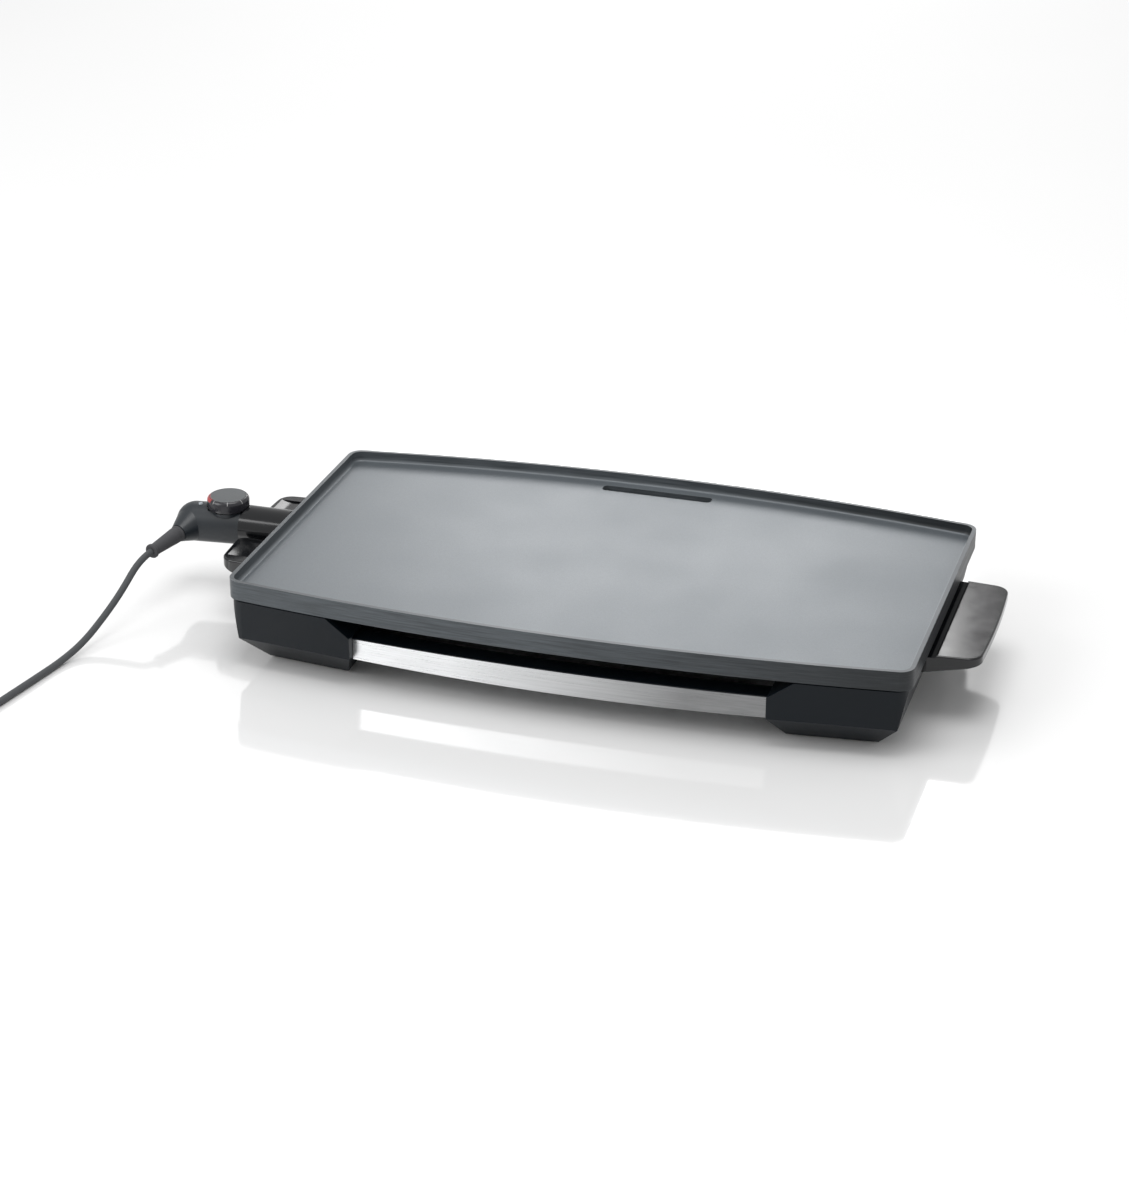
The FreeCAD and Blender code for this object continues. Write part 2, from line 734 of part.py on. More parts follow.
def handle(side, reach, half, low, hollow):
    """A wedge that grows out of the housing's flank, tapers to its tip and has a low band at its root."""
    grip = body("grip_moulding")
    front, back = d.handle_middle - half, d.handle_middle + half
    view = sketch(grip, "XZ_Plane", -front)
    outline(view, [(side * flank(low), low), (side * reach, d.grip_bottom), (side * reach, d.handle_top),
                   (side * d.handle_band, d.handle_top), (side * d.handle_band, d.handle_step),
                   (side * flank(d.handle_step), d.handle_step)])
    feature("Pad", view, 2 * half, reverse=True)

    # the plan tapers to the tip, whose edge bulges
    corner = side * (reach - d.handle_bow)
    root_x = side * (d.housing_outer + 1)
    beyond = side * (reach + 10)
    tip_front, tip_back = d.handle_middle - d.handle_tip, d.handle_middle + d.handle_tip
    radius = (d.handle_tip * d.handle_tip + d.handle_bow * d.handle_bow) / (2 * d.handle_bow)
    trim = sketch(grip, "XY_Plane", d.handle_top + 5)
    outline(trim, [(root_x, front), (corner, tip_front), (corner, tip_back), (root_x, back),
                   (root_x, back + 10), (beyond, back + 10), (beyond, front - 10), (root_x, front - 10)],
            {1: (radius, (side * (reach - radius), d.handle_middle))})
    feature("Pocket", trim, 60)
    if hollow:
        start = side * d.handle_band
        end = side * (reach - d.handle_bow - d.wall)
        ceiling = d.handle_top - d.wall
        space = sketch(grip, "XZ_Plane", d.handle_tip - d.wall - d.handle_middle)
        outline(space, [(start, low - 5), (end, low - 5), (end, ceiling), (start, ceiling)])
        feature("Pocket", space, 2 * (d.handle_tip - d.wall))
        tip = near_tip(reach - d.handle_bow - d.wall)
        dress(grip, "Fillet", lambda edge: tip(edge) and not near_tip(reach - d.handle_bow)(edge),
              d.plate_corner - d.wall)
    dress(grip, "Fillet", near_tip(reach - d.handle_bow), d.plate_corner)
    return grip


def handle_cover(side, reach, low):
    """The plate that closes the handle from below."""
    cover = body("cover_moulding")
    slope = (d.grip_bottom - low) / (reach - flank(low))
    start = d.handle_band
    end = reach - d.handle_bow - d.wall
    at_start = low + (start - flank(low)) * slope
    at_end = low + (end - flank(low)) * slope
    view = sketch(cover, "XZ_Plane", d.handle_tip - d.wall - d.handle_middle)
    outline(view, [(side * start, at_start), (side * end, at_end), (side * end, at_end + 2),
                   (side * start, at_start + 2)])
    feature("Pad", view, 2 * (d.handle_tip - d.wall), reverse=True)
    dress(cover, "Fillet", near_tip(end), d.plate_corner - d.wall)
    return cover


right_low = d.bar_top - 0.5
right_grip = handle(1, d.right_reach, d.right_half, right_low, True)
dress(right_grip, "Fillet", level(d.handle_top), 1.6)
node("right_handle_cover", handle_cover(1, d.right_reach, right_low))

left_grip = handle(-1, d.left_reach, d.left_half, d.saddle_height - 8, False)
saddle = sketch(left_grip, "YZ_Plane", -d.housing_waist + 5)
rectangle(saddle, -d.saddle_half, d.saddle_half, d.saddle_height, d.handle_top + 5)
feature("Pocket", saddle, 80)
dress(left_grip, "Fillet",
      lambda edge: near_tip(d.left_reach - 1)(edge) and abs(edge.BoundBox.Center.y) < float(d.saddle_half) + 1, 8)
dress(left_grip, "Fillet", level(d.handle_top), 1.6)


def thumb_dish(side):
    """A long shallow scoop in the top of each half of the left handle."""
    across = 24
    radius = (across * across / 4 + d.dish_depth * d.dish_depth) / (2 * d.dish_depth)
    middle = (d.handle_band + d.left_reach) / 2 + 1
    length = d.handle_tip - d.saddle_half - 16
    start = d.saddle_half + 8 if side > 0 else d.handle_middle - d.handle_tip + 10
    return cylinder(radius, length, -middle, start, d.handle_top - d.dish_depth + radius, "Y")


handle_screw_start = flank(d.grip_bottom) - d.wall - 2.2
handle_screws = screw_set("handle_screws", [
    ((side * handle_screw_start, y, d.grip_bottom), Vector(side, 0, 0))
    for side in (-1, 1) for y in (-48, 48)], 15)

beam_screw_height = (d.bar_top + d.bar_bottom) / 2
beam_screws = screw_set("beam_screws", [
    ((side * (d.bar_half + d.wall + 2.2), edge_y(front, d.bar_half, d.bar_inset + d.bar_depth / 2 + 1), beam_screw_height),
     Vector(-side, 0, 0))
    for side in (-1, 1) for front in (True, False)], 14)


def with_boss(beam, front):
    """A screw boss inside each end cell of a cross-beam."""
    y = edge_y(front, d.bar_half, d.bar_inset + d.bar_depth / 2 + 1)
    bosses = [cylinder(4, 13, start, y, beam_screw_height, "X") for start in (-d.bar_half, d.bar_half - 13)]
    return fuse(beam, *bosses)


node("front_crossbeam", cut(with_boss(front_beam, True), beam_screws))
node("right_end_housing", cut(right_housing, handle_screws, beam_screws))
node("left_end_housing", cut(left_housing, handle_screws, beam_screws))
node("right_handle", cut(right_grip, handle_screws))
node("left_handle", cut(left_grip, handle_screws, thumb_dish(-1), thumb_dish(1)))


# ---------------------------------------------------------------- drip tray and its guide

guide_half = d.tray_half + 1.5
guide_back = d.tray_back - 4
guide_screws = screw_set("guide_screws", [
    ((x, edge_y(False, guide_half - 19, d.bar_inset + d.bar_depth / 2), d.bar_top + d.sheet), Vector(0, 0, -1))
    for x in (19 - guide_half, guide_half - 19)], 8)


def tray_guide():
    floor = box((-guide_half, guide_half), (d.tray_front - 2, guide_back), (d.bar_top, d.bar_top + d.sheet))
    sides = []
    for side in (-1, 1):
        ends = (guide_half, guide_half + d.sheet) if side > 0 else (-guide_half - d.sheet, -guide_half)
        sides.append(box(ends, (d.tray_front - 2, guide_back), (d.bar_top, d.bar_top + 12)))
    outside = guide_half + d.sheet
    stop = box((-outside, outside), (d.tray_front - 2 - d.sheet, d.tray_front - 2),
               (d.bar_top, d.bar_top + 12))
    return fuse(floor, stop, *sides)


node("tray_guide", cut(tray_guide(), guide_screws))
node("rear_crossbeam", cut(with_boss(rear_beam, False), beam_screws, guide_screws))


def drip_tray():
    tray = body("drip_tray")
    plan = sketch(tray, "XY_Plane", d.tray_bottom)
    rectangle(plan, -d.tray_half, d.tray_half, d.tray_front, d.tray_back)
    height = d.tray_top - d.tray_bottom
    feature("Pad", plan, height)
    inside = sketch(tray, "XY_Plane", d.tray_top)
    wall = d.tray_wall
    rectangle(inside, wall - d.tray_half, d.tray_half - wall, d.tray_front + wall, d.tray_back - wall)
    feature("Pocket", inside, height - wall)
    for outer, radius in ((False, 6 - wall), (True, 6)):
        dress(tray, "Fillet",
              lambda edge: upright(edge) and (edge.BoundBox.ZLength > height.number - 0.1) == outer, radius)
    pull = sketch(tray, "XY_Plane", d.tray_top - wall)
    rectangle(pull, -30, 30, d.tray_back - wall / 2, d.tray_back + 8)
    feature("Pad", pull, wall)
    return tray


node("drip_tray", drip_tray())


# ---------------------------------------------------------------- thermostat connector

def gland_axis():
    """The middle of the elbow and the heading of the strain relief."""
    turn, pitch = math.radians(float(d.elbow_turn)), math.radians(float(d.gland_pitch))
    middle = Vector(-float(d.elbow_x), -float(d.elbow_y), float(d.axis_height))
    heading = Vector(-math.cos(turn) * math.cos(pitch), -math.sin(turn) * math.cos(pitch), -math.sin(pitch))
    return middle, heading


def connector_solid(inward):
    """A round bar with a round end, and a neck that leaves that end toward the cord."""
    middle, heading = gland_axis()
    full = float(d.shell_radius) - inward
    small = float(d.gland_root) - inward
    seam_middle = Vector(-float(d.seam), 0, float(d.axis_height))
    along = (middle - seam_middle).normalize()
    spare = 10
    length = middle.distanceToPoint(seam_middle) + spare
    # half the outline of the bar, turned about its axis
    bar = Part.Wire([
        Part.makeLine(Vector(0, 0, 0), Vector(full, 0, 0)),
        Part.makeLine(Vector(full, 0, 0), Vector(full, 0, length)),
        Part.Arc(Vector(full, 0, length), Vector(full * math.sqrt(0.5), 0, length + full * math.sqrt(0.5)),
                 Vector(0, 0, length + full)).toShape(),
        Part.makeLine(Vector(0, 0, length + full), Vector(0, 0, 0)),
    ])
    solid = Part.Face(bar).revolve(Vector(0, 0, 0), Vector(0, 0, 1), 360)
    solid.Placement = Placement(seam_middle - along * spare, Rotation(Vector(0, 0, 1), along))
    # the neck leaves the round end almost along its surface
    sunk, slope = 5, 0.42
    neck_length = float(d.neck_length) - sunk
    neck = Part.makeCone(small + slope * neck_length, small, neck_length, middle + heading * sunk, heading)
    solid = solid.fuse(neck).removeSplitter()
    side = 4 * full
    return solid.cut(Part.makeBox(side, side, side, Vector(-float(d.seam), -side / 2, seam_middle.z - side / 2)))


elbow_middle, gland_heading = gland_axis()
gland_place = elbow_middle + gland_heading * float(d.neck_length)
shell_outside = connector_solid(0)
shell_inside = connector_solid(float(d.shell_wall))
# the knob turns in a round seat that is sunk in the sleeve and the contact block too
knob_room = cylinder(d.knob_radius + 0.5, 20, -d.knob_x, 0, d.knob_bottom - 0.4)
screw_places = ((-365.5, 8.5, 46), (-383, -8, 46))
connector_screws = screw_set("connector_screws", [
    (place, Vector(0, 0, 1)) for place in screw_places], 12, head=2.4, shank=1.3).Shape
lens_radius = 2.2
lens_place = Vector(-374.5, -5.5, float(d.axis_height + d.shell_radius) - 5)
lens = Part.makeCylinder(lens_radius, 4, lens_place).fuse(
    Part.makeSphere(lens_radius, lens_place + Vector(0, 0, 4)))
node("pilot_lamp_lens", shaped("pilot_lamp_lens", lens.removeSplitter()))


def connector_shell(upper):
    split = float(d.axis_height)
    reach = 80
    knob_place = Vector(-float(d.knob_x), 0, 0)
    half = Part.makeBox(2 * reach, 2 * reach, reach, Vector(-float(d.seam) - reach, -reach, split))
    if not upper:
        half.translate(Vector(0, 0, -reach))
    outside = shell_outside
    inside = shell_inside
    if upper:
        seat = float(d.knob_bottom) - 0.4
        flare = Part.makeCone(13.5, float(d.collar_radius), 9, knob_place + Vector(0, 0, seat - 11))
        rim = Part.makeCylinder(float(d.collar_radius), 2, knob_place + Vector(0, 0, seat - 2))
        collar = flare.fuse(rim)
        collar = collar.cut(Part.makeBox(reach, 2 * reach, 2 * reach, Vector(-float(d.seam), -reach, 0)))
        room = Part.makeCylinder(float(d.knob_radius) + 0.5, reach, knob_place + Vector(0, 0, seat))
        outside = outside.cut(room).fuse(collar)
        inside = inside.cut(Part.makeCylinder(float(d.knob_radius) + 0.5 + float(d.shell_wall), reach,
                                              knob_place + Vector(0, 0, seat - float(d.shell_wall))))
    shell = outside.cut(inside)
    for x, y, z in screw_places:
        post = Part.makeCylinder(3, 2 * reach, Vector(x, y, split - reach))
        shell = shell.fuse(post.common(outside))
    shell = shell.common(half).cut(connector_screws)
    if upper:
        shell = shell.cut(Part.makeCylinder(float(d.shaft_radius) + 0.5, reach,
                                            knob_place + Vector(0, 0, split + 1)))
        shell = shell.cut(Part.makeCylinder(lens_radius, 20, Vector(lens_place.x, lens_place.y, split + 5)))
    else:
        for x, y, z in screw_places:
            shell = shell.cut(Part.makeCylinder(2.4, 10, Vector(x, y, z - 10)))
    return shell.removeSplitter()


node("connector_upper_shell", shaped("connector_upper_shell", connector_shell(True)))
node("connector_lower_shell", shaped("connector_lower_shell", connector_shell(False)))

sleeve_length = d.seam - d.sleeve_start
node("connector_sleeve", cut(
    cylinder(d.sleeve_radius, sleeve_length, -d.seam, 0, d.axis_height, "X"),
    cylinder(d.sleeve_bore, sleeve_length, -d.seam, 0, d.axis_height, "X"), knob_room))

contact_radius = d.pin_diameter / 2 + d.play
block_start = d.seam - 2
block_length = 30
tube_length = 26


def contact_places():
    return [(-block_start + block_length - tube_length, side * d.pin_spread, d.heater_height, "X")
            for side in (-1, 1)]


node("contact_block", cut(
    cylinder(d.sleeve_bore, block_length, -block_start, 0, d.axis_height, "X"),
    cylinder(d.probe_diameter / 2, block_length, -block_start, 0, d.heater_height, "X"), knob_room,
    *[cylinder(contact_radius + 0.5, tube_length, *place) for place in contact_places()]))
node("contact_tubes", group([
    cut(cylinder(contact_radius + 0.5, tube_length, *place), cylinder(contact_radius, tube_length, *place))
    for place in contact_places()]))
probe_length = block_start - d.probe_tip - 2
node("probe", fuse(
    cylinder(d.probe_diameter / 2, probe_length, -block_start, 0, d.heater_height, "X"),
    cone(d.probe_diameter / 2, 1, 2, probe_length - block_start, 0, d.heater_height, "X")))

switch_top = d.axis_height + 6
node("thermostat_switch", cut(
    box((-d.knob_x - 10, -d.seam - 0.5), (-7, 7), (d.axis_height - 6, switch_top)),
    cylinder(d.shaft_radius + 0.5, 5, -d.knob_x, 0, switch_top - 5)))
node("knob_shaft", cylinder(d.shaft_radius, d.knob_top - 4 - (switch_top - 4), -d.knob_x, 0, switch_top - 4))


def knob():
    turned = body("temperature_knob")
    view = sketch(turned, "XY_Plane", d.knob_bottom)
    disc(view, -d.knob_x, 0, d.knob_radius)
    feature("Pad", view, d.knob_top - d.knob_bottom)
    dress(turned, "Fillet", level(d.knob_top), 2.2)
    dress(turned, "Fillet", level(d.knob_bottom), 0.8)
    seat = sketch(turned, "XY_Plane", d.knob_top)
    disc(seat, -d.knob_x, 0, d.knob_radius - 3)
    feature("Pocket", seat, 0.8)
    bore = sketch(turned, "XY_Plane", d.knob_bottom)
    disc(bore, -d.knob_x, 0, d.shaft_radius)
    feature("Pocket", bore, d.knob_top - 4 - d.knob_bottom, reverse=True)
    return turned


node("temperature_knob", knob())
node("knob_cap", cylinder(d.knob_radius - 3, 0.8, -d.knob_x, 0, d.knob_top - 0.8))

# ---------------------------------------------------------------- strain relief, cord and plug

relief_end = gland_place + gland_heading * float(d.gland_length)


def strain_relief():
    inside = float(d.gland_root) - float(d.shell_wall) - 0.2
    length = float(d.gland_length)
    stem = Part.makeCylinder(inside, 5, gland_place - gland_heading * 5, gland_heading)
    taper = Part.makeCone(float(d.gland_root) - 0.6, float(d.gland_end), length - 3, gland_place, gland_heading)
    ring = Part.makeCylinder(float(d.gland_end) + 1.1, 3, relief_end - gland_heading * 3, gland_heading)
    return stem.fuse([taper, ring]).removeSplitter()


node("strain_relief", shaped("strain_relief", strain_relief()))

cord_radius = d.cord_diameter / 2
lay = float(cord_radius)
coil_x, coil_y = -500, -326
coil_start = math.radians(-25)
coil_outer = float(d.coil_radius)
entry = (coil_x + coil_outer * math.cos(coil_start), coil_y + coil_outer * math.sin(coil_start), lay)
leave_y = coil_y - coil_outer + 0.6
upper = lay + float(d.coil_layer)
exit_run = relief_end + gland_heading * 16

# from the strain relief down to the tabletop and along it to the coil's lower layer
CORD_ROUTE = [
    tuple(relief_end), tuple(exit_run), (-404.5, -112, 34.5), (-411, -138, 20), (-418, -164, 8), (-425, -192, lay),
    (-431, -225, lay), (-438, -262, lay), (-446, -303, lay), entry,
]
# from the coil's upper layer to the plug
TAIL_ROUTE = [
    (coil_x, leave_y, upper), (-520, leave_y, upper + 1), (-541, leave_y, 15),
    (-560, leave_y, float(d.plug_radius) + 0.2),
]

cord_shape, cord_length, cord_radii = tube(CORD_ROUTE, cord_radius)
node("cord_tube", shaped("cord_tube", cord_shape))
tail_shape, tail_length, tail_radii = tube(TAIL_ROUTE, cord_radius)
node("cord_tail", shaped("cord_tail", tail_shape))
print("cord arcs", [round(value) for value in cord_radii + tail_radii])
coil_hole = d.coil_radius - d.coil_turns * d.coil_pitch
coil_length = 2 * math.pi * (float(coil_hole) / 4 + (coil_outer + float(coil_hole)) * float(d.coil_turns))
print("cord length", round(cord_length), round(tail_length), round(coil_length),
      round(cord_length + tail_length + coil_length))
coil_height = d.coil_layer + d.cord_diameter
node("cord_coil", cut(cylinder(d.coil_radius + cord_radius, coil_height, coil_x, coil_y, 0),
                      cylinder(coil_hole - cord_radius, coil_height, coil_x, coil_y, 0)))

plug_start = Vector(*TAIL_ROUTE[-1])
plug_heading = (plug_start - Vector(*TAIL_ROUTE[-2]))
plug_heading.z = 0
plug_heading.normalize()


def plug_body():
    length = float(d.plug_length)
    neck = Part.makeCone(5.5, 9, length * 0.4, plug_start, plug_heading)
    grip = Part.makeCone(12, 15.5, length * 0.4, plug_start + plug_heading * length * 0.4, plug_heading)
    face = Part.makeCylinder(float(d.plug_radius), length * 0.2, plug_start + plug_heading * length * 0.8,
                             plug_heading)
    return neck.fuse([grip, face]).removeSplitter()


def plug_pins():
    sideways = Vector(-plug_heading.y, plug_heading.x, 0)
    radius = float(d.plug_pin_diameter) / 2
    pins = []
    for side in (-1, 1):
        start = plug_start + plug_heading * float(d.plug_length) + sideways * side * float(d.plug_pin_spread)
        stem = Part.makeCylinder(radius, float(d.plug_pin_length) - 1.5, start, plug_heading)
        nose = Part.makeCone(radius, radius * 0.5, 1.5, start + plug_heading * (float(d.plug_pin_length) - 1.5),
                             plug_heading)
        pins.append(stem.fuse(nose))
    return Part.makeCompound(pins)


node("plug_body", shaped("plug_body", plug_body()))
node("plug_pins", shaped("plug_pins", plug_pins()))

# ---------------------------------------------------------------- check and write

doc.recompute()
for item in doc.Objects:
    if {"Invalid", "Error"} & set(item.State):
        raise RuntimeError(f"{item.Name} failed: {item.State}")
os.makedirs("parts", exist_ok=True)
for label, item in nodes.items():
    if item.Shape.isNull() or not item.Shape.isValid() or item.Shape.Volume <= 0:
        raise RuntimeError(f"{label} has no valid shape")
    item.Shape.exportStep(f"parts/{label}.step")
    print(f"{label}: {len(item.Shape.Solids)} solid(s), {item.Shape.Volume / 1000:.2f} cm3")
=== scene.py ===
"""Electric griddle: finishes, cord and fine pieces on the fixed frame of its CAD parts."""
import json
import math

import bmesh
import bpy
from bpy.props import FloatProperty, FloatVectorProperty, IntProperty, PointerProperty
from mathutils import Matrix, Vector


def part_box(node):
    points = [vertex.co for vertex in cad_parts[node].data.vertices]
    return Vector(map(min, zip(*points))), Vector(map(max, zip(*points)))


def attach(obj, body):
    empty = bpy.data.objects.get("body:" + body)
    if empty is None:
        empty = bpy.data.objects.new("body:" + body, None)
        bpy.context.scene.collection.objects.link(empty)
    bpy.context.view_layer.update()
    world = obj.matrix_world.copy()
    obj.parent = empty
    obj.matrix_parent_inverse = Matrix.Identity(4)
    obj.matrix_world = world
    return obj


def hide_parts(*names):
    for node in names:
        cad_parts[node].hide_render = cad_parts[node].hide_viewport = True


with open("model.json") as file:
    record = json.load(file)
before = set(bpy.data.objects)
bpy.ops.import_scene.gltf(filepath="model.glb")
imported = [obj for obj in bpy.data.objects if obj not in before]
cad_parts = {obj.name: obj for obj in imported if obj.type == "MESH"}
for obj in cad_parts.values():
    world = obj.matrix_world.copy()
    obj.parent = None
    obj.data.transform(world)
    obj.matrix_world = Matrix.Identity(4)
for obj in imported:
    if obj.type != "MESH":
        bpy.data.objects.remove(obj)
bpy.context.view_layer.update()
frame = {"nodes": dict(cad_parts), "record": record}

bl_info = {
    "name": "Electric Griddle",
    "version": (1, 0, 0),
    "blender": (4, 5, 0),
    "location": "View3D > Sidebar > Griddle",
    "description": "Finishes a table griddle with a bowed plate, a plug-in thermostat and its cord",
    "category": "Object",
}

UP = Vector((0, 0, 1))


# ------------------------------------------------------------------ settings

class GriddleStageSettings(bpy.types.PropertyGroup):
    """Floor, lights and camera."""

    floor_size: FloatProperty(
        name="Floor size", description="Side of the pale floor", default=40, unit="LENGTH")
    floor_colour: FloatVectorProperty(
        name="Floor colour", description="Glossy pale tabletop", subtype="COLOR", size=3,
        default=(0.88, 0.88, 0.88), min=0, max=1)
    sky: FloatProperty(name="Room light", description="Strength of the white room", default=0.72, min=0)
    key_power: FloatProperty(
        name="Key", description="Large soft light at the left front", default=42, unit="POWER")
    rear_power: FloatProperty(
        name="Rear", description="Soft light behind, mirrored by the plate", default=20, unit="POWER")
    top_power: FloatProperty(name="Top", description="Soft light overhead", default=34, unit="POWER")
    lens: FloatProperty(name="Lens", description="Focal length", default=86.8, unit="CAMERA")
    camera_place: FloatVectorProperty(
        name="Camera", description="Where the camera stands", subtype="TRANSLATION", size=3,
        default=(0.6251, -2.14754, 1.10293))
    camera_heading: FloatVectorProperty(
        name="Heading", description="The way the camera looks", subtype="DIRECTION", size=3,
        default=(-0.26686, 0.86168, -0.43162))


class GriddleFinishSettings(bpy.types.PropertyGroup):
    """Colours of the finishes."""

    coating: FloatVectorProperty(
        name="Coating", description="Non-stick coating of the plate", subtype="COLOR", size=3,
        default=(0.100, 0.113, 0.124), min=0, max=1)
    moulding: FloatVectorProperty(
        name="Base moulding", description="Blue-black plastic of the base", subtype="COLOR", size=3,
        default=(0.0025, 0.0048, 0.0075), min=0, max=1)
    gloss: FloatVectorProperty(
        name="Gloss black", description="Handles, sleeve and knob", subtype="COLOR", size=3,
        default=(0.004, 0.0045, 0.0055), min=0, max=1)
    shell: FloatVectorProperty(
        name="Connector shell", description="Fine-grained thermostat moulding", subtype="COLOR", size=3,
        default=(0.010, 0.0135, 0.0175), min=0, max=1)
    steel: FloatVectorProperty(
        name="Brushed steel", description="Front strip", subtype="COLOR", size=3,
        default=(0.82, 0.83, 0.84), min=0, max=1)


class GriddleCordSettings(bpy.types.PropertyGroup):
    """The mains cord and its put-away coil."""

    diameter: FloatProperty(
        name="Diameter", description="Round three-core cord", default=0.006, unit="LENGTH")
    length: FloatProperty(name="Length", description="Whole cord", default=1.74, unit="LENGTH")
    coil_radius: FloatProperty(name="Coil", description="Outermost turn", default=0.045, unit="LENGTH")
    coil_pitch: FloatProperty(name="Pitch", description="From turn to turn", default=0.0063, unit="LENGTH")
    coil_layer: FloatProperty(name="Layer", description="Lower to upper layer", default=0.0061, unit="LENGTH")
    turns: IntProperty(name="Turns", description="Turns in each layer", default=3, min=1)
    turn_points: IntProperty(name="Points", description="Points in each turn", default=24, min=12)


class GriddleKnobSettings(bpy.types.PropertyGroup):
    """The temperature knob and its printed marks."""

    red: FloatVectorProperty(
        name="Red", description="Mark of the hottest setting", subtype="COLOR", size=3,
        default=(0.32, 0.035, 0.035), min=0, max=1)
    ticks: IntProperty(name="Ticks", description="Light marks round the edge", default=5, min=2)
    tick_span: FloatProperty(
        name="Tick span", description="Angle that the ticks cover", default=math.radians(175),
        subtype="ANGLE")


# ------------------------------------------------------------------ materials

def shader_of(name):
    material = bpy.data.materials.new(name)
    material.use_nodes = True
    return material, material.node_tree, material.node_tree.nodes["Principled BSDF"]


def node(tree, kind, inputs=(), **settings):
    made = tree.nodes.new("ShaderNode" + kind)
    for name, value in settings.items():
        setattr(made, name, value)
    for name, value in dict(inputs).items():
        if isinstance(value, bpy.types.NodeSocket):
            tree.links.new(value, made.inputs[name])
        else:
            made.inputs[name].default_value = value
    return made


def noise(tree, scale, detail=4, stretch=(1, 1, 1), roughness=0.55):
    """Noise over the object's own coordinates; scale is in waves to the metre."""
    place = node(tree, "TexCoord")
    turned = node(tree, "Mapping", {"Vector": place.outputs["Object"], "Scale": stretch})
    made = node(tree, "TexNoise", {
        "Vector": turned.outputs["Vector"], "Scale": scale, "Detail": detail, "Roughness": roughness})
    return made.outputs["Fac"]


def spread(tree, value, low, high, start=0.3, end=0.7):
    made = node(tree, "MapRange", {
        "Value": value, "From Min": start, "From Max": end, "To Min": low, "To Max": high})
    return made.outputs["Result"]


def blend_colours(tree, factor, first, second):
    made = node(tree, "Mix", data_type="RGBA")
    tree.links.new(factor, made.inputs[0])
    for socket, colour in ((made.inputs[6], first), (made.inputs[7], second)):
        if isinstance(colour, bpy.types.NodeSocket):
            tree.links.new(colour, socket)
        else:
            socket.default_value = (*colour, 1)
    return made.outputs[2]


def relief(tree, shader, height, strength, depth):
    made = node(tree, "Bump", {"Height": height, "Strength": strength, "Distance": depth})
    tree.links.new(made.outputs["Normal"], shader.inputs["Normal"])


def tinted(colour, share):
    return tuple(min(1, channel * share) for channel in colour)


def plain_finish(name, colour, rough, metallic=0.0, vary=0.12, grain=900, depth=0.00004, strength=0.3,
                 shine=0.5, stretch=(1, 1, 1)):
    """A finish with a soft drift of colour, uneven gloss and a fine grain."""
    material, tree, shader = shader_of(name)
    drift = noise(tree, 14, 3)
    fine = noise(tree, grain, 3, stretch)
    hue = blend_colours(tree, spread(tree, drift, 0, 1), tinted(colour, 1 - vary), tinted(colour, 1 + vary))
    tree.links.new(hue, shader.inputs["Base Color"])
    gloss = node(tree, "Math", {0: spread(tree, drift, rough * 0.88, rough * 1.1)}, operation="ADD")
    tree.links.new(spread(tree, fine, -0.03, 0.03), gloss.inputs[1])
    tree.links.new(gloss.outputs[0], shader.inputs["Roughness"])
    shader.inputs["Metallic"].default_value = metallic
    shader.inputs["Specular IOR Level"].default_value = shine
    relief(tree, shader, fine, strength, depth)
    return material


def plate_coating(settings):
    """Non-stick coating: speckle on the cooking surface, a drawn grain on the rim and skirt.

    The rim and the skirt carry painted shade toward +X, standing in for their darker reflection there, and
    the top of the rim is darker than the cooking surface.
    """
    material, tree, shader = shader_of("plate_coating")
    facing = node(tree, "NewGeometry").outputs["Normal"]
    level = node(tree, "SeparateXYZ", {"Vector": facing}).outputs["Z"]
    flat = spread(tree, level, 0, 1, 0.55, 0.9)
    speckle = noise(tree, 1500, 2)
    cloud = noise(tree, 9, 4)
    streak = noise(tree, 520, 5, (0.05, 0.05, 1.4), 0.65)
    place = node(tree, "SeparateXYZ", {"Vector": node(tree, "TexCoord").outputs["Object"]})
    colour = settings.coating
    level_colour = blend_colours(tree, spread(tree, speckle, 0, 1, 0.35, 0.65), tinted(colour, 0.9),
                                 tinted(colour, 1.14))
    clouded = blend_colours(tree, spread(tree, cloud, 0, 0.35), level_colour, tinted(colour, 1.25))
    side_colour = blend_colours(tree, spread(tree, streak, 0, 1), tinted(colour, 0.46), tinted(colour, 0.92))
    # Painted shade: this darker streaked copy of the coating is blended into the rim walls and skirt toward
    # +X, standing in for their darker reflection.
    painted_skirt_shade = blend_colours(tree, spread(tree, streak, 0, 1), tinted(colour, 0.14), tinted(colour, 0.3))
    shade_ramp_x = spread(tree, place.outputs["X"], 0, 1, -0.02, 0.26)
    side_with_painted_shade = blend_colours(tree, shade_ramp_x, side_colour, painted_skirt_shade)
    dark_rim = blend_colours(tree, spread(tree, place.outputs["Z"], 0, 0.7, 0.0715, 0.077), clouded,
                             tinted(colour, 0.4))
    tree.links.new(blend_colours(tree, flat, side_with_painted_shade, dark_rim), shader.inputs["Base Color"])
    rough = node(tree, "Mix", {0: flat, 2: spread(tree, streak, 0.3, 0.5),
                               3: spread(tree, cloud, 0.36, 0.43)}, data_type="FLOAT")
    tree.links.new(rough.outputs[0], shader.inputs["Roughness"])
    tree.links.new(spread(tree, flat, 0.03, 0.3, 0, 1), shader.inputs["Metallic"])
    tree.links.new(spread(tree, flat, 0.25, 0.6, 0, 1), shader.inputs["Specular IOR Level"])
    height = node(tree, "Mix", {0: flat, 2: streak, 3: speckle}, data_type="FLOAT")
    relief(tree, shader, height.outputs[0], 0.32, 0.00008)
    return material


